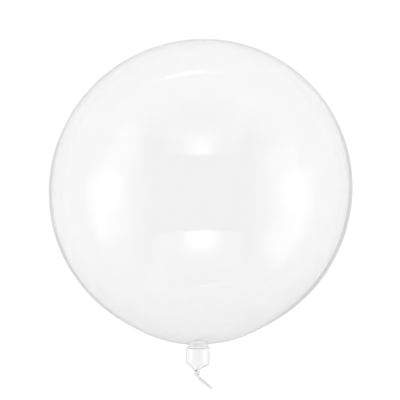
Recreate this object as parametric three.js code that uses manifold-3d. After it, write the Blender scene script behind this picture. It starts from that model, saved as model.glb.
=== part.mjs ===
// A clear bubble balloon: one envelope of stretched plastic film, filled with air, its neck
// gathered and knotted, laid on its side. The film is sealed, so the envelope is one closed solid.
//
// Frame: millimetres, +Z up. The balloon rests on z = 0 on a small flat spot round the origin,
// and its neck points along -Y. "Along" is the distance from the middle of the ball towards the
// neck, and "across" is the distance from the neck's axis.
import * as THREE from "three";
import { mergeVertices } from "three/addons/utils/BufferGeometryUtils.js";
import Module from "manifold-3d";

// The ball
const BALL_R = 200; // mean radius of the blown-up film
const STRETCH = 0.0094; // the film has grown this much more along one slanting line than on average
const STRETCH_ANGLE = 53; // degrees of that line from +Y towards +X
const REST_R = 26; // radius of the spot that the ball's own weight flattens
const BALL_SIDES = 72;
const BALL_STEP = 5; // degrees of arc between rings

// The neck: a narrow collar on the ball, and the wider tube that the balloon was filled through
const NECK_LEAN = 0.45; // degrees that the neck leans towards -X
const COLLAR_R = 13.4;
const FLARE_R = 3; // hollow curve from the ball into the collar
const TUBE_R = 15.5;
const TUBE_FROM = 209.8; // along
const TUBE_RIM = 1.3; // roundness of the tube's end on the collar
const SHOULDER_AT = 229; // along, where the tube starts to close
const SHOULDER_R = 4.5; // roundness of the shoulder
const SHOULDER_TILT = 6; // degrees: the tube is a little longer on its +X side
const PINCH_AT = 240.8;
const PINCH_SHIFT = -2.6; // the gathers meet a little to the -X side of the tube's axis
const PINCH_R = 2.9;
const PLEATS = 9;
const PLEAT_DEPTH = 0.3; // share of the radius, at the pinch
const NECK_SIDES = 6 * PLEATS;

// The knot, and the tail of gathered film below it
const KNOT_SHIFT = -0.9;
const WRAPS_AT = [243.6, 246.4]; // along, the turns of film round the bundle
const WRAP_TILTS = [18, -14]; // degrees, their slant
const WRAP_R = 2.7; // radius of a turn's middle line
const WRAP_THICKNESS = 1.5; // half of it
const BUNDLE_R = 2.5;
const TAIL_END = new THREE.Vector2(19.6, -264.5); // across and -along
const TAIL_WIDTH = 2.5; // half of it, where it leaves the knot
const TAIL_TIP_WIDTH = 1.8;
const TAIL_THICKNESS = 1.3; // half of it
const TAIL_TWIST = 35; // degrees from the knot to the tip
const TAIL_FOLDS = 3;
const TAIL_FOLD_DEPTH = 0.22;
const TAIL_SIDES = 18;
const TAIL_STEPS = 16;

const wasm = await Module();
wasm.setup();

const radians = THREE.MathUtils.degToRad;
const lerp = THREE.MathUtils.lerp;
const smoothstep = THREE.MathUtils.smoothstep;

// A closed geometry as a solid that can be joined and cut.
function solidOf(geometry) {
  const bare = geometry.clone();
  bare.deleteAttribute("normal");
  bare.deleteAttribute("uv");
  const merged = mergeVertices(bare, 1e-4);
  return new wasm.Manifold(
    new wasm.Mesh({
      numProp: 3,
      vertProperties: new Float32Array(merged.attributes.position.array),
      triVerts: new Uint32Array(merged.index.array),
    }),
  );
}

function geometryOf(solid) {
  const mesh = solid.getMesh();
  const geometry = new THREE.BufferGeometry();
  geometry.setAttribute("position", new THREE.BufferAttribute(mesh.vertProperties, 3));
  geometry.setIndex(new THREE.BufferAttribute(mesh.triVerts, 1));
  geometry.computeVertexNormals();
  return geometry;
}

// Points of an arc about a centre, from one angle to another in degrees, ends included.
function arc(centre, radius, from, to, step) {
  const count = Math.max(1, Math.round(Math.abs(to - from) / step));
  return Array.from({ length: count + 1 }, (_, i) => {
    const angle = radians(lerp(from, to, i / count));
    return new THREE.Vector2(
      centre.x + radius * Math.cos(angle),
      centre.y + radius * Math.sin(angle),
    );
  });
}

// A closed skin through rings of points, one ring after another, with a fan over each end.
function loft(rings) {
  const sides = rings[0].length;
  const middle = (ring) =>
    ring.reduce((sum, p) => sum.add(p), new THREE.Vector3()).divideScalar(sides);
  const points = [...rings.flat(), middle(rings[0]), middle(rings.at(-1))];
  const first = rings.length * sides;
  const faces = [];
  for (let i = 0; i < sides; i++) {
    const next = (i + 1) % sides;
    for (let ring = 0; ring < rings.length - 1; ring++) {
      const [a, b] = [ring * sides + i, ring * sides + next];
      faces.push(a, b, b + sides, a, b + sides, a + sides);
    }
    const last = first - sides;
    faces.push(first, next, i, first + 1, last + i, last + next);
  }
  return new THREE.BufferGeometry().setFromPoints(points).setIndex(faces);
}

// The ball with its flare and collar, turned about the neck's axis. The collar ends inside the tube.
function ball() {
  const flareCentre = new THREE.Vector2(
    COLLAR_R + FLARE_R,
    -Math.sqrt((BALL_R + FLARE_R) ** 2 - (COLLAR_R + FLARE_R) ** 2),
  );
  const flareFrom = THREE.MathUtils.radToDeg(flareCentre.angle()) - 360;
  const profile = [
    new THREE.Vector2(0, -TUBE_FROM - TUBE_RIM),
    new THREE.Vector2(COLLAR_R, -TUBE_FROM - TUBE_RIM),
    ...arc(flareCentre, FLARE_R, 180, flareFrom + 180, 25),
    ...arc(new THREE.Vector2(), BALL_R, flareFrom, 90, BALL_STEP).slice(1, -1),
    new THREE.Vector2(0, BALL_R),
  ];
  return new THREE.LatheGeometry(profile, BALL_SIDES);
}

// The tube's outline from its rim on the collar to the knot, as across and along.
function tubeOutline() {
  const rim = new THREE.Vector2(TUBE_R - TUBE_RIM, TUBE_FROM + TUBE_RIM);
  const shoulder = new THREE.Vector2(TUBE_R - SHOULDER_R, SHOULDER_AT);
  const pinch = new THREE.Vector2(PINCH_R, PINCH_AT);
  const slope = THREE.MathUtils.radToDeg(
    Math.atan2(TUBE_R - PINCH_R, PINCH_AT - SHOULDER_AT),
  );
  const round = arc(shoulder, SHOULDER_R, 0, slope, 12);
  const cone = [0.35, 0.65, 0.85].map((share) => round.at(-1).clone().lerp(pinch, share));
  return [
    new THREE.Vector2(COLLAR_R - TUBE_RIM, TUBE_FROM),
    ...arc(rim, TUBE_RIM, -90, 0, 30),
    new THREE.Vector2(TUBE_R, lerp(TUBE_FROM, SHOULDER_AT, 0.4)),
    new THREE.Vector2(TUBE_R, lerp(TUBE_FROM, SHOULDER_AT, 0.7)),
    ...round,
    ...cone,
    pinch,
    new THREE.Vector2(BUNDLE_R, WRAPS_AT[0]),
  ];
}

function tube() {
  const rings = tubeOutline().map(({ x: across, y: along }) => {
    const gathered = THREE.MathUtils.clamp(1 - (across - PINCH_R) / (TUBE_R - PINCH_R), 0, 1);
    const folded = along < SHOULDER_AT ? 0 : gathered;
    const shift = PINCH_SHIFT * smoothstep(along, SHOULDER_AT, PINCH_AT);
    const tilt = Math.tan(radians(SHOULDER_TILT)) * smoothstep(along, TUBE_FROM, SHOULDER_AT);
    return Array.from({ length: NECK_SIDES }, (_, i) => {
      const angle = (2 * Math.PI * i) / NECK_SIDES;
      const fold = 0.5 - 0.5 * Math.cos(PLEATS * angle);
      const radius = across * (1 - PLEAT_DEPTH * folded * fold);
      const x = radius * Math.cos(angle);
      return new THREE.Vector3(x + shift, -along - tilt * x, radius * Math.sin(angle));
    });
  });
  return loft(rings);
}

// The tail: the bundle of film goes through the knot, bends aside and flattens to its tip.
function tail() {
  const knot = new THREE.Vector3(KNOT_SHIFT, -WRAPS_AT[1], 0);
  const end = new THREE.Vector3(TAIL_END.x, TAIL_END.y, 0);
  const bend = knot.clone().lerp(end, 0.2).add(new THREE.Vector3(-0.6, -0.6, 0));
  const start = new THREE.Vector3(PINCH_SHIFT, -PINCH_AT, 0);
  const route = new THREE.CatmullRomCurve3([start, knot, bend, end]);
  const up = new THREE.Vector3(0, 0, 1);
  const rings = Array.from({ length: TAIL_STEPS + 1 }, (_, step) => {
    const share = step / TAIL_STEPS;
    const centre = route.getPointAt(share);
    const aside = new THREE.Vector3().crossVectors(up, route.getTangentAt(share));
    const flat = smoothstep(share, 0.15, 0.4);
    const width = lerp(BUNDLE_R, lerp(TAIL_WIDTH, TAIL_TIP_WIDTH, share), flat);
    const thickness = lerp(BUNDLE_R, TAIL_THICKNESS * (1 - 0.3 * share), flat);
    const twist = radians(TAIL_TWIST) * flat * share;
    return Array.from({ length: TAIL_SIDES }, (_, i) => {
      const angle = (2 * Math.PI * i) / TAIL_SIDES;
      const fold = 1 - TAIL_FOLD_DEPTH * (0.5 - 0.5 * Math.cos(TAIL_FOLDS * angle));
      const point = new THREE.Vector2(width * Math.cos(angle), thickness * Math.sin(angle))
        .multiplyScalar(fold)
        .rotateAround(new THREE.Vector2(), twist);
      return centre.clone().addScaledVector(aside, -point.x).addScaledVector(up, -point.y);
    });
  });
  return loft(rings);
}

// One turn of film round the bundle.
function wrap(along, tilt) {
  return new THREE.TorusGeometry(WRAP_R, WRAP_THICKNESS, 10, 20)
    .rotateX(Math.PI / 2)
    .rotateZ(radians(tilt))
    .translate(KNOT_SHIFT, -along, 0);
}

// The neck's lean, then the film's uneven stretch along a line in the plane of X and Y.
function leanAndStretch() {
  const lean = new THREE.Matrix4().makeRotationZ(radians(-NECK_LEAN));
  const turn = new THREE.Matrix4().makeRotationZ(radians(-STRETCH_ANGLE));
  const scale = new THREE.Matrix4().makeScale(1 - STRETCH, 1 + STRETCH, 1);
  return turn.clone().multiply(scale).multiply(turn.clone().invert()).multiply(lean);
}

function balloon() {
  const middle = Math.sqrt(BALL_R ** 2 - REST_R ** 2);
  const wraps = WRAPS_AT.map((along, i) => wrap(along, WRAP_TILTS[i]));
  const shape = leanAndStretch();
  const whole = [ball(), tube(), tail(), ...wraps]
    .map((geometry) => solidOf(geometry.applyMatrix4(shape).translate(0, 0, middle)))
    .reduce((joined, piece) => joined.add(piece));
  const below = new THREE.BoxGeometry(4 * REST_R, 4 * REST_R, REST_R).translate(0, 0, -REST_R / 2);
  const film = new THREE.MeshStandardMaterial({
    color: 0xf3f5f6,
    roughness: 0.06,
    metalness: 0,
    transparent: true,
    opacity: 0.25,
  });
  const mesh = new THREE.Mesh(geometryOf(whole.subtract(solidOf(below))), film);
  mesh.name = "balloon";
  return mesh;
}

const root = new THREE.Group();
root.add(balloon());

export default root;
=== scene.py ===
"""Clear bubble balloon lying on a pale floor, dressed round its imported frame.

Metres, +Z up. The ball rests on the origin and its neck points along -Y. "Along" is the distance
from the middle of the ball towards the neck, "across" the distance from the neck's axis, and
"away" an angle from the neck's axis at the middle of the ball.
"""

import math

import bpy
import numpy as np
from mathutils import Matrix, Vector

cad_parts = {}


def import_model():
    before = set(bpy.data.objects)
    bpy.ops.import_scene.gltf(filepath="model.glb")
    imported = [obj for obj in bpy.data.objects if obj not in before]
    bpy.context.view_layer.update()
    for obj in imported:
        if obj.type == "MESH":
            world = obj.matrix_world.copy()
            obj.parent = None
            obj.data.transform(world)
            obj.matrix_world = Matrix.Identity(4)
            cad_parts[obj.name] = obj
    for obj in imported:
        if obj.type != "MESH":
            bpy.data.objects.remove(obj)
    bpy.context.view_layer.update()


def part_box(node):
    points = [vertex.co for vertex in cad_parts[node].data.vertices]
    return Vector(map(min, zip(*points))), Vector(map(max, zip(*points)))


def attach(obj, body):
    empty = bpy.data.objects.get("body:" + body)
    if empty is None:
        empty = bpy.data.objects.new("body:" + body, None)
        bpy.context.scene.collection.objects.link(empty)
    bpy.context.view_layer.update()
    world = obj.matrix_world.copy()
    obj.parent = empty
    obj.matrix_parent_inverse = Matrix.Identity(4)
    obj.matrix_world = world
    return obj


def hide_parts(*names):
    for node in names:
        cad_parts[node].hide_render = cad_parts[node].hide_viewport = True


MM = 0.001

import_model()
cad_low, cad_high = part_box("balloon")

# The ball, sized from the frame. The film has grown a little more along one slanting line.
STRETCH = 0.0094
STRETCH_ANGLE = math.radians(53)  # from +Y towards +X
STRETCH_ALONG_X = 1 + STRETCH * (1 - 2 * math.cos(STRETCH_ANGLE) ** 2)
BALL_R = (cad_high.x - cad_low.x) / 2 / STRETCH_ALONG_X
BALL_MIDDLE = cad_high.z - BALL_R
BALL_SIDES = 180
BALL_RINGS = 151
FILM = 0.15 * MM  # thickness
FULLNESS = 4.4 * MM  # the ball is this much fuller round its neck
FULL_FROM = math.radians(32)  # away
FULL_TO = math.radians(8)
REST_CLEARANCE = 0.3 * MM  # between the film and the floor, where it rests
REST_SOFTNESS = 0.35 * MM  # of the edge of the flat that it rests on

# The weld of the film's two halves: a thin flange round the ball, in the plane of its neck
WELD_STEPS = 720
WELD_SIDES = 8
WELD_GAP = math.radians(4.5)  # away, left free for the neck
WELD_HEIGHT = 0.45 * MM  # half of its size along Z
WELD_DEPTH = 0.55 * MM  # half of its size outwards, where it is lightest
# Painted shade: the weld grows heavier, a darker line, on the neck's side, most at +X, where the
# rim is shaded.
WELD_HEAVIER = 2.8  # times WELD_DEPTH is added where it is heaviest
WELD_LEFT_SHARE = 0.7  # share of that on the -X side
WELD_HEAVY_FAR = (math.radians(75), math.radians(135))  # away, from heavy to light
WELD_HEAVY_NEAR = (math.radians(18), math.radians(52))  # away, from light to heavy
WELD_NEAR_SHARE = 0.08  # share of it that is left by the neck

# The neck: a narrow collar on the ball, then the wider filling tube, gathered to a pinch
NECK_LEAN = math.radians(0.45)
COLLAR_R = 13.4 * MM
FLARE_R = 3 * MM
TUBE_R = 15.5 * MM
TUBE_FROM = 209.8 * MM
TUBE_RIM = 1.3 * MM  # roundness of the tube's end on the collar
RIM_THICKNESS = 0.55 * MM  # half of the ring where that end is welded to the collar
SHOULDER_AT = 229 * MM
SHOULDER_R = 4.5 * MM
SHOULDER_TILT = math.radians(6)
PINCH_AT = 240.8 * MM
PINCH_SHIFT = -2.6 * MM
PINCH_R = 2.9 * MM
PLEATS = 9
PLEAT_DEPTH = 0.3

# The knot, and the tail of gathered film below it
KNOT_SHIFT = -0.9 * MM
WRAPS = [(243.6 * MM, 18), (246.4 * MM, -14)]  # along, and degrees of slant
WRAP_R = 2.7 * MM
WRAP_THICKNESS = 1.5 * MM
BUNDLE_R = 1.5 * MM
TAIL_END = Vector((19.6 * MM, -264.5 * MM, 0))
TAIL_BEND_AT = 0.2  # share of the way from the knot to the tip
TAIL_BEND_OUT = Vector((-0.6 * MM, -0.6 * MM, 0))
TAIL_FLAT = (0.15, 0.4)  # share of its length over which it flattens
TAIL_WIDTH = 3.0 * MM
TAIL_TIP_WIDTH = 2.2 * MM
TAIL_THICKNESS = 1.3 * MM
TAIL_THINNER = 0.3  # share that its thickness loses on the way to the tip
TAIL_TWIST = math.radians(35)
TAIL_FOLDS = 3
TAIL_FOLD_DEPTH = 0.22
TAIL_CREASES = 11
TAIL_CREASE_DEPTH = 0.08
TAIL_STEPS = 16  # on each of its three stretches
TAIL_SIDES = 48

# The film's look
FILM_IOR = 1.45
FILM_TONE = 0.961
NECK_PAINTED_SHADE = 0.05  # painted shade taken from the tone of the ball's film towards the neck, partly for thicker film there
WELD_SIDE_PAINTED_SHADE = 0.085  # and painted shade beside the weld, on the neck's side and at +X

# The room. "Steep" is degrees from overhead, "turned" degrees from the X axis towards +Y, and the
# rest are shares of a direction of length one. Each edge is the width that a light fades over.
ROOM_STEEP = (50, 92)
ROOM_LEVEL = (0.78, 1.08)
DIM_BY = 0.36  # overhead
DIM_X = (-0.64, 0.68)
DIM_X_EDGE = 0.16
DIM_Y = (-1.2, 0.58)
DIM_Y_EDGES = (0.1, 0.14)
DIM_Z = (0.0, 0.5)
SIDE_LEVEL = 0.72
SIDE_EDGE = 16
SIDE_LIGHTS = [("GREATER_THAN", 60, -44, 10), ("LESS_THAN", 58, -28, 12)]  # X, steep, turned
NECK_LIGHT_EDGE = 0.03  # the sharp one, nearest to overhead
NECK_LIGHTS = [  # Y from and to, its far edge, X from and to, its edges, level
    (-0.88, -0.5, 0.2, -0.5, 0.44, 0.12, 0.48),
    (-0.68, -0.5, 0.26, -0.15, 0.18, 0.26, 2.1),
]

# The floor and the lamps
FLOOR_REACH = 6
FLOOR_Z = -1 * MM
SUN_ENERGY = 1.43
SUN_ANGLE = math.radians(60)
STRIP_SIZE = (0.42, 0.08)
STRIP_ENERGY = 0.085
STRIP_PLACE = (-0.21, 1.35, 0.2)

# Camera: straight above, far enough to see the whole ball
CAMERA_HEIGHT = 1.48
LENS = 100
SENSOR = 36
CAMERA_ASIDE = (-0.8 * MM, -13 * MM)


def smoothstep(x, low, high):
    t = np.clip((x - low) / (high - low), 0, 1)
    return t * t * (3 - 2 * t)


def lerp(a, b, t):
    return a + (b - a) * t


def turn(count):
    """Angles once round, the first not repeated."""
    return np.linspace(0, 2 * math.pi, count, endpoint=False)


def rotate(x, y, angle):
    c, s = math.cos(angle), math.sin(angle)
    return x * c - y * s, x * s + y * c


def lean_and_stretch(points):
    """The neck's lean, the film's uneven stretch and the ball's height, as in the solid."""
    x, y = rotate(points[..., 0], points[..., 1], -NECK_LEAN)
    ux, uy = math.sin(STRETCH_ANGLE), math.cos(STRETCH_ANGLE)
    on = x * ux + y * uy
    off = x * uy - y * ux
    x, y = x + STRETCH * (on * ux - off * uy), y + STRETCH * (on * uy + off * ux)
    return np.stack([x, y, points[..., 2] + BALL_MIDDLE], -1)


def rest_on_floor(points):
    """Flattens the film where it rests, with a soft edge to the flat."""
    z = points[..., 2] - REST_CLEARANCE
    near = np.abs(z) < 30 * REST_SOFTNESS
    lifted = REST_SOFTNESS * np.log1p(np.exp(np.clip(z / REST_SOFTNESS, -30, 30)))
    points[..., 2] = np.where(near, lifted, z) + REST_CLEARANCE
    return points


def mesh_object(name, vertices, faces, materials):
    mesh = bpy.data.meshes.new(name)
    mesh.from_pydata([tuple(v) for v in vertices], [], [tuple(f) for f in faces])
    mesh.update()
    mesh.polygons.foreach_set("use_smooth", [True] * len(mesh.polygons))
    piece = bpy.data.objects.new(name, mesh)
    bpy.context.scene.collection.objects.link(piece)
    for material in materials:
        mesh.materials.append(material)
    return piece


def closed_loft(name, rings, material):
    """A closed skin through rings of points, with a fan over each end."""
    rings = np.array(rings)
    count, sides = rings.shape[:2]
    ends = [rings[0].mean(0), rings[-1].mean(0)]
    vertices = np.concatenate([rings.reshape(-1, 3), ends])
    faces = []
    for i in range(sides):
        after = (i + 1) % sides
        for ring in range(count - 1):
            a, b = ring * sides + i, ring * sides + after
            faces.append((a, b, b + sides, a + sides))
        last = (count - 1) * sides
        faces.append((count * sides, after, i))
        faces.append((count * sides + 1, last + i, last + after))
    return mesh_object(name, vertices, faces, [material])


def closed_grid(name, points, material):
    """A skin through a grid of points that closes on itself both ways."""
    rows, columns = points.shape[:2]
    faces = []
    for i in range(rows):
        for j in range(columns):
            p, q = i * columns, (i + 1) % rows * columns
            after = (j + 1) % columns
            faces.append((p + j, p + after, q + after, q + j))
    return mesh_object(name, points.reshape(-1, 3), faces, [material])


def torus_points(radius, thickness, steps, sides):
    """x, y and z of a torus about the Y axis."""
    a, b = np.meshgrid(turn(steps), turn(sides), indexing="ij")
    reach = radius + thickness * np.cos(b)
    return reach * np.cos(a), thickness * np.sin(b), reach * np.sin(a)


def arc(centre, radius, start, end, count):
    """count + 1 points of an arc, as across and along, with angles in degrees."""
    angles = np.radians(np.linspace(start, end, count + 1))
    return [(centre[0] + radius * np.cos(a), centre[1] + radius * np.sin(a)) for a in angles]


def ball_radius(away):
    return BALL_R + FULLNESS * smoothstep(-away, -FULL_FROM, -FULL_TO)


def film_outline():
    """Half the film's outline, as across and along, from the far side of the ball to the pinch."""
    neck_r = BALL_R + FULLNESS
    flare_along = math.sqrt((neck_r + FLARE_R) ** 2 - (COLLAR_R + FLARE_R) ** 2)
    meets = math.degrees(math.atan2(flare_along, COLLAR_R + FLARE_R))
    away = np.radians(np.linspace(180, 90 - meets, BALL_RINGS))[1:-1]
    ball = [(ball_radius(a) * math.sin(a), ball_radius(a) * math.cos(a)) for a in away]
    flare = arc((COLLAR_R + FLARE_R, flare_along), FLARE_R, meets - 180, -180, 8)
    collar = [(COLLAR_R, lerp(flare_along, TUBE_FROM, t)) for t in (0.35, 0.7, 0.95)]
    rim = arc((TUBE_R - TUBE_RIM, TUBE_FROM + TUBE_RIM), TUBE_RIM, -80, 0, 8)
    down = np.linspace(0.1, 0.95, 10)
    tube = [(TUBE_R, lerp(TUBE_FROM + TUBE_RIM, SHOULDER_AT, t)) for t in down]
    slope = math.degrees(math.atan2(TUBE_R - PINCH_R, PINCH_AT - SHOULDER_AT))
    shoulder = arc((TUBE_R - SHOULDER_R, SHOULDER_AT), SHOULDER_R, 0, slope, 8)
    across, along = shoulder[-1]
    closing = np.linspace(0.08, 1, 14)
    cone = [(lerp(across, PINCH_R, t), lerp(along, PINCH_AT, t)) for t in closing]
    return ball + flare + collar + rim + tube + shoulder + cone


def film_rings():
    """Rings of points over the ball, collar and tube, each with the same number of sides."""
    angle = turn(BALL_SIDES)
    fold = 0.5 - 0.5 * np.cos(PLEATS * angle)
    rings = []
    for across, along in film_outline():
        folded = 0
        if along >= SHOULDER_AT:
            folded = np.clip(1 - (across - PINCH_R) / (TUBE_R - PINCH_R), 0, 1)
        radius = across * (1 - PLEAT_DEPTH * folded * fold)
        x = radius * np.cos(angle)
        tilt = math.tan(SHOULDER_TILT) * smoothstep(along, TUBE_FROM, SHOULDER_AT)
        shift = PINCH_SHIFT * smoothstep(along, SHOULDER_AT, PINCH_AT)
        rings.append(np.stack([x + shift, -along - tilt * x, radius * np.sin(angle)], -1))
    return np.array(rings)


def ring_normals(rings):
    """Outward normals of a skin through rings."""
    round_it = np.roll(rings, -1, 1) - np.roll(rings, 1, 1)
    down_it = np.gradient(rings, axis=0)
    normal = np.cross(down_it, round_it)
    return normal / np.linalg.norm(normal, axis=-1, keepdims=True)


def film_ball(material, neck_material):
    """The film as one thin skin with two faces, closed at its far side and open into the knot."""
    sides = BALL_SIDES
    outer = rest_on_floor(lean_and_stretch(film_rings()))
    inner = outer - FILM * ring_normals(outer)
    count = len(outer)
    pole = np.array([0, BALL_R, 0])
    poles = lean_and_stretch(np.stack([pole, pole * (1 - FILM / BALL_R)]))
    vertices = np.concatenate([outer.reshape(-1, 3), inner.reshape(-1, 3), poles])
    faces = []
    for wall in range(2):
        start = wall * count * sides
        for ring in range(count - 1):
            for i in range(sides):
                a = start + ring * sides + i
                b = start + ring * sides + (i + 1) % sides
                quad = (a, a + sides, b + sides, b)
                faces.append(quad if wall == 0 else quad[::-1])
        tip = 2 * count * sides + wall
        for i in range(sides):
            a, b = start + i, start + (i + 1) % sides
            faces.append((tip, a, b) if wall == 0 else (tip, b, a))
    last = (count - 1) * sides
    for i in range(sides):
        a, b = last + i, last + (i + 1) % sides
        faces.append((a, a + count * sides, b + count * sides, b))
    skin = mesh_object("film_ball", vertices, faces, [material, neck_material])
    for face in skin.data.polygons:
        face.material_index = int(face.center.y < -BALL_R - FULLNESS)
    return skin


def weld(material):
    """The flange where the film's two halves are welded, from one side of the neck to the other. It
    is made heavier on the neck's side, most at +X, as painted shade of the rim.
    """
    section = turn(WELD_SIDES)
    far_light, far_heavy = WELD_HEAVY_FAR[::-1]
    rings = []
    for a in np.linspace(WELD_GAP, 2 * math.pi - WELD_GAP, WELD_STEPS):
        away = min(a, 2 * math.pi - a)
        # Painted shade: heavier towards the neck's side, where the rim is shaded.
        heavy = smoothstep(-away, -far_light, -far_heavy)
        heavy *= lerp(WELD_NEAR_SHARE, 1, smoothstep(away, *WELD_HEAVY_NEAR))
        thick = 1 + WELD_HEAVIER * heavy * (1 if a < math.pi else WELD_LEFT_SHARE)
        middle = ball_radius(away) - WELD_DEPTH * (thick - 1) * 0.5
        out = middle + WELD_DEPTH * thick * np.cos(section)
        x, y, z = out * math.sin(a), -out * math.cos(a), WELD_HEIGHT * np.sin(section)
        rings.append(np.stack([x, y, z], -1))
    return closed_loft("film_weld", lean_and_stretch(np.array(rings)), material)


def catmull_rom(points, steps):
    """Points and directions along a smooth curve through the given points."""
    points = [2 * points[0] - points[1], *points, 2 * points[-1] - points[-2]]
    spots = []
    for i in range(1, len(points) - 2):
        a, b, c, d = points[i - 1 : i + 3]
        for t in np.linspace(0, 1, steps, endpoint=False):
            spots.append(0.5 * (2 * b + (c - a) * t + (2 * a - 5 * b + 4 * c - d) * t**2
                                + (3 * b - 3 * c + d - a) * t**3))
    spots.append(points[-2])
    spots = np.array([tuple(s) for s in spots])
    forward = np.gradient(spots, axis=0)
    return spots, forward / np.linalg.norm(forward, axis=1, keepdims=True)


def tail(material):
    """The bundle of film through the knot, which bends aside and flattens to its tip."""
    start = Vector((PINCH_SHIFT, -PINCH_AT, 0))
    knot = Vector((KNOT_SHIFT, -WRAPS[1][0], 0))
    bend = knot.lerp(TAIL_END, TAIL_BEND_AT) + TAIL_BEND_OUT
    spots, forward = catmull_rom([start, knot, bend, TAIL_END], TAIL_STEPS)
    travelled = np.cumsum(np.linalg.norm(np.diff(spots, axis=0), axis=1))
    share = np.concatenate([[0], travelled]) / travelled[-1]
    angle = turn(TAIL_SIDES)
    rings = []
    for centre, ahead, s in zip(spots, forward, share):
        flat = smoothstep(s, *TAIL_FLAT)
        width = lerp(BUNDLE_R, lerp(TAIL_WIDTH, TAIL_TIP_WIDTH, s), flat)
        thickness = lerp(BUNDLE_R, TAIL_THICKNESS * (1 - TAIL_THINNER * s), flat)
        fold = 1 - TAIL_FOLD_DEPTH * (0.5 - 0.5 * np.cos(TAIL_FOLDS * angle))
        fold -= TAIL_CREASE_DEPTH * (0.5 - 0.5 * np.cos(TAIL_CREASES * angle + 4 * s))
        u, v = width * fold * np.cos(angle), thickness * fold * np.sin(angle)
        u, v = rotate(u, v, TAIL_TWIST * flat * s)
        aside = np.array([ahead[1], -ahead[0], 0])
        rings.append(centre + u[:, None] * aside + v[:, None] * np.array([0, 0, 1]))
    return closed_loft("film_tail", lean_and_stretch(np.array(rings)), material)


def wrap(name, along, slant, material):
    """One turn of film round the bundle."""
    x, y, z = torus_points(WRAP_R, WRAP_THICKNESS, 48, 20)
    x, y = rotate(x, y, math.radians(slant))
    points = np.stack([x + KNOT_SHIFT, y - along, z], -1)
    return closed_grid(name, lean_and_stretch(points), material)


def tube_rim(material):
    """The welded end of the filling tube, a fine ring round the collar; its dark grey is partly
    painted shadow under that end.
    """
    x, y, z = torus_points(TUBE_R - TUBE_RIM, RIM_THICKNESS, 96, 10)
    points = np.stack([x, -TUBE_FROM - y, z], -1)
    return closed_grid("film_tube_rim", lean_and_stretch(points), material)


def new_material(name):
    material = bpy.data.materials.new(name)
    material.use_nodes = True
    return material, material.node_tree, material.node_tree.nodes["Principled BSDF"]


def clear_plastic(shader, tint):
    """Clear film. The tint darkens it where it is seen edge on."""
    shader.inputs["Transmission Weight"].default_value = 1
    shader.inputs["IOR"].default_value = FILM_IOR
    shader.inputs["Coat Weight"].default_value = 1
    shader.inputs["Coat IOR"].default_value = 1
    shader.inputs["Coat Tint"].default_value = (tint, tint, tint, 1)


def noise(tree, scale, detail):
    node = tree.nodes.new("ShaderNodeTexNoise")
    place = tree.nodes.new("ShaderNodeTexCoord")
    tree.links.new(place.outputs["Object"], node.inputs["Vector"])
    node.inputs["Scale"].default_value = scale
    node.inputs["Detail"].default_value = detail
    return node.outputs["Fac"]


def uneven_gloss(tree, shader, height, low, high):
    """Roughness from low to high over the middle of a noise."""
    node = tree.nodes.new("ShaderNodeMapRange")
    tree.links.new(height, node.inputs["Value"])
    node.inputs["From Min"].default_value = 0.3
    node.inputs["From Max"].default_value = 0.7
    node.inputs["To Min"].default_value = low
    node.inputs["To Max"].default_value = high
    tree.links.new(node.outputs["Result"], shader.inputs["Roughness"])


def bumps(tree, shader, height, strength, distance):
    node = tree.nodes.new("ShaderNodeBump")
    node.inputs["Strength"].default_value = strength
    node.inputs["Distance"].default_value = distance
    tree.links.new(height, node.inputs["Height"])
    tree.links.new(node.outputs["Normal"], shader.inputs["Normal"])


def math_node(tree, operation, *values):
    node = tree.nodes.new("ShaderNodeMath")
    node.operation = operation
    for socket, value in zip(node.inputs, values):
        if isinstance(value, (int, float)):
            socket.default_value = value
        else:
            tree.links.new(value, socket)
    return node.outputs[0]


def ease(tree, value, start, end, low=0.0, high=1.0):
    """A smooth step from low at start to high at end."""
    node = tree.nodes.new("ShaderNodeMapRange")
    node.interpolation_type = "SMOOTHSTEP"
    tree.links.new(value, node.inputs["Value"])
    numbers = {"From Min": start, "From Max": end, "To Min": low, "To Max": high}
    for name, number in numbers.items():
        node.inputs[name].default_value = number
    return node.outputs["Result"]


def window(tree, across, start, end, start_edge, end_edge):
    """One between start and end, with soft edges of the given widths."""
    rise = ease(tree, across, start - start_edge / 2, start + start_edge / 2)
    fall = ease(tree, across, end - end_edge / 2, end + end_edge / 2, 1.0, 0.0)
    return math_node(tree, "MULTIPLY", rise, fall)


def product(tree, *values):
    result = values[0]
    for value in values[1:]:
        result = math_node(tree, "MULTIPLY", result, value)
    return result


def coordinates(tree, output):
    """X, Y and Z of one output of the texture coordinates."""
    place = tree.nodes.new("ShaderNodeTexCoord")
    split = tree.nodes.new("ShaderNodeSeparateXYZ")
    tree.links.new(place.outputs[output], split.inputs["Vector"])
    return [split.outputs[axis] for axis in "XYZ"]


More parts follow.
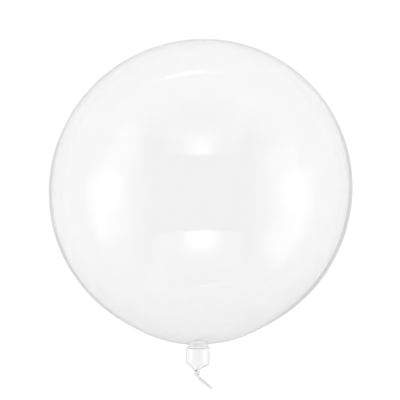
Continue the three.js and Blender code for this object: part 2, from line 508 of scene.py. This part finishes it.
def film_material():
    """Clear stretched film, darker towards the neck and beside the weld: partly thicker film,
    partly painted shade.
    """
    material, tree, shader = new_material("clear_film")
    x, y, z = coordinates(tree, "Object")
    # Painted shade: the tone darkens towards the neck, beside the weld and on the neck's side at
    # +X.
    to_neck = ease(tree, y, -0.2 * BALL_R, -1.2 * BALL_R)
    height = math_node(tree, "ABSOLUTE", math_node(tree, "SUBTRACT", z, BALL_MIDDLE))
    by_weld = ease(tree, height, 0.45 * BALL_R, 0.05 * BALL_R)
    slanting = math_node(tree, "ADD", y, math_node(tree, "MULTIPLY", x, -0.6))
    shaded_side = ease(tree, slanting, 0.2 * BALL_R, -1.2 * BALL_R)
    neck_painted_shade = product(tree, to_neck, NECK_PAINTED_SHADE)
    weld_side_painted_shade = product(tree, by_weld, shaded_side, WELD_SIDE_PAINTED_SHADE)
    on_ball = ease(tree, y, -1.04 * BALL_R, -1.0 * BALL_R)
    darker = product(tree, math_node(tree, "ADD", neck_painted_shade, weld_side_painted_shade), on_ball)
    tone = math_node(tree, "SUBTRACT", FILM_TONE, darker)
    mix = tree.nodes.new("ShaderNodeCombineColor")
    for channel in ("Red", "Green", "Blue"):
        tree.links.new(tone, mix.inputs[channel])
    tree.links.new(mix.outputs["Color"], shader.inputs["Base Color"])
    clear_plastic(shader, 0.99)
    uneven_gloss(tree, shader, noise(tree, 18, 2), 0.0, 0.05)
    bumps(tree, shader, noise(tree, 8, 1), 0.5, 0.5 * MM)
    return material


def neck_film_material():
    """The neck's film, which isn't stretched: thicker, so darker where it is seen edge on."""
    material, tree, shader = new_material("neck_film")
    shader.inputs["Base Color"].default_value = (1, 1, 1, 1)
    clear_plastic(shader, 0.976)
    crease = noise(tree, 160, 3)
    uneven_gloss(tree, shader, crease, 0.0, 0.12)
    bumps(tree, shader, crease, 0.25, 0.5 * MM)
    return material


def weld_and_painted_shade_material():
    """Two films welded into one, dull; its dark grey is partly painted shade along the rim and
    under the tube's end.
    """
    material, tree, shader = new_material("welded_film_and_painted_shade")
    # Painted shade: the dark grey stands partly for the shade along the rim.
    shader.inputs["Base Color"].default_value = (0.38, 0.38, 0.39, 1)
    shader.inputs["Transmission Weight"].default_value = 0.6
    shader.inputs["IOR"].default_value = FILM_IOR
    uneven_gloss(tree, shader, noise(tree, 400, 3), 0.15, 0.4)
    return material


def gathered_material(name, tone, clearness):
    """The same film in many layers, gathered and knotted: it scatters light and looks grey."""
    material, tree, shader = new_material(name)
    shader.inputs["Base Color"].default_value = (tone, tone, tone, 1)
    shader.inputs["Transmission Weight"].default_value = clearness
    shader.inputs["IOR"].default_value = FILM_IOR
    crumple = noise(tree, 900, 4)
    uneven_gloss(tree, shader, crumple, 0.12, 0.35)
    bumps(tree, shader, crumple, 0.4, 0.4 * MM)
    return material


def floor():
    low, high = -FLOOR_REACH, FLOOR_REACH
    corners = [(low, low, 0), (high, low, 0), (high, high, 0), (low, high, 0)]
    material, tree, shader = new_material("pale_floor")
    shader.inputs["Base Color"].default_value = (0.9, 0.9, 0.9, 1)
    shader.inputs["Roughness"].default_value = 0.9
    shader.inputs["Specular IOR Level"].default_value = 0
    plane = mesh_object("floor", corners, [(0, 1, 2, 3)], [material])
    plane.location.z = FLOOR_Z


def side_light(tree, x, steep, turned, side, start, low, high):
    """A soft light beside the ball, down to the horizon."""
    return product(
        tree,
        window(tree, steep, start, 90, SIDE_EDGE, SIDE_EDGE),
        window(tree, turned, low, high, SIDE_EDGE, SIDE_EDGE),
        math_node(tree, side, x, 0),
        SIDE_LEVEL,
    )


def world():
    """A pale room, dimmer overhead, with soft lights at both sides and beyond the neck."""
    room = bpy.data.worlds.new("studio")
    room.use_nodes = True
    bpy.context.scene.world = room
    tree = room.node_tree
    x, y, z = coordinates(tree, "Generated")
    degrees = 180 / math.pi
    steep = math_node(tree, "MULTIPLY", math_node(tree, "ARCCOSINE", z), degrees)
    sideways = math_node(tree, "ABSOLUTE", x)
    turned = math_node(tree, "MULTIPLY", math_node(tree, "ARCTAN2", y, sideways), degrees)
    above = math_node(tree, "GREATER_THAN", z, 0)

    dim = product(
        tree,
        window(tree, x, *DIM_X, DIM_X_EDGE, DIM_X_EDGE),
        window(tree, y, *DIM_Y, *DIM_Y_EDGES),
        ease(tree, z, *DIM_Z),
    )
    base = ease(tree, steep, *ROOM_STEEP, *ROOM_LEVEL)
    level = math_node(tree, "SUBTRACT", base, product(tree, dim, DIM_BY))
    for numbers in SIDE_LIGHTS:
        level = math_node(tree, "ADD", level, side_light(tree, x, steep, turned, *numbers))
    for far, near, far_edge, west, east, edge, strength in NECK_LIGHTS:
        deep = window(tree, y, far, near, far_edge, NECK_LIGHT_EDGE)
        wide = window(tree, x, west, east, edge, edge)
        level = math_node(tree, "ADD", level, product(tree, deep, wide, above, strength))
    tree.links.new(level, tree.nodes["Background"].inputs["Strength"])
    tree.nodes["Background"].inputs["Color"].default_value = (1, 1, 1, 1)


def lamp(name, kind, energy):
    data = bpy.data.lights.new(name, kind)
    data.energy = energy
    light = bpy.data.objects.new(name, data)
    bpy.context.scene.collection.objects.link(light)
    return light


def floor_light():
    """Broad light from overhead that makes the floor white. The film doesn't mirror it."""
    light = lamp("floor_light", "SUN", SUN_ENERGY)
    light.data.angle = SUN_ANGLE
    light.visible_glossy = False
    light.visible_transmission = False


def far_light():
    """A low strip of light beyond the top of the ball. It doesn't light the floor."""
    light = lamp("far_light", "AREA", STRIP_ENERGY)
    light.data.shape = "RECTANGLE"
    light.data.size, light.data.size_y = STRIP_SIZE
    light.location = STRIP_PLACE
    light.rotation_euler = (math.radians(90), 0, math.radians(180))
    light.visible_diffuse = False


def camera():
    data = bpy.data.cameras.new("camera")
    data.lens = LENS
    data.sensor_width = SENSOR
    view = bpy.data.objects.new("camera", data)
    bpy.context.scene.collection.objects.link(view)
    view.location = (*CAMERA_ASIDE, BALL_MIDDLE + CAMERA_HEIGHT)
    bpy.context.scene.camera = view


camera()
floor()
world()
floor_light()
far_light()
bpy.context.scene.view_settings.view_transform = "Standard"

gathered = gathered_material("gathered_film", 0.78, 0.55)
wrapped = gathered_material("wrapped_film", 0.97, 0.4)
welded = weld_and_painted_shade_material()
skin = film_ball(film_material(), neck_film_material())
pieces = [skin, weld(welded), tube_rim(welded), tail(gathered)]
for number, (along, slant) in enumerate(WRAPS, 1):
    pieces.append(wrap(f"film_wrap_{number}", along, slant, wrapped))
for piece in pieces:
    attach(piece, "root")

# The clear film's faint shadow on the floor is left out
skin.visible_shadow = False
skin.visible_diffuse = False
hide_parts("balloon")
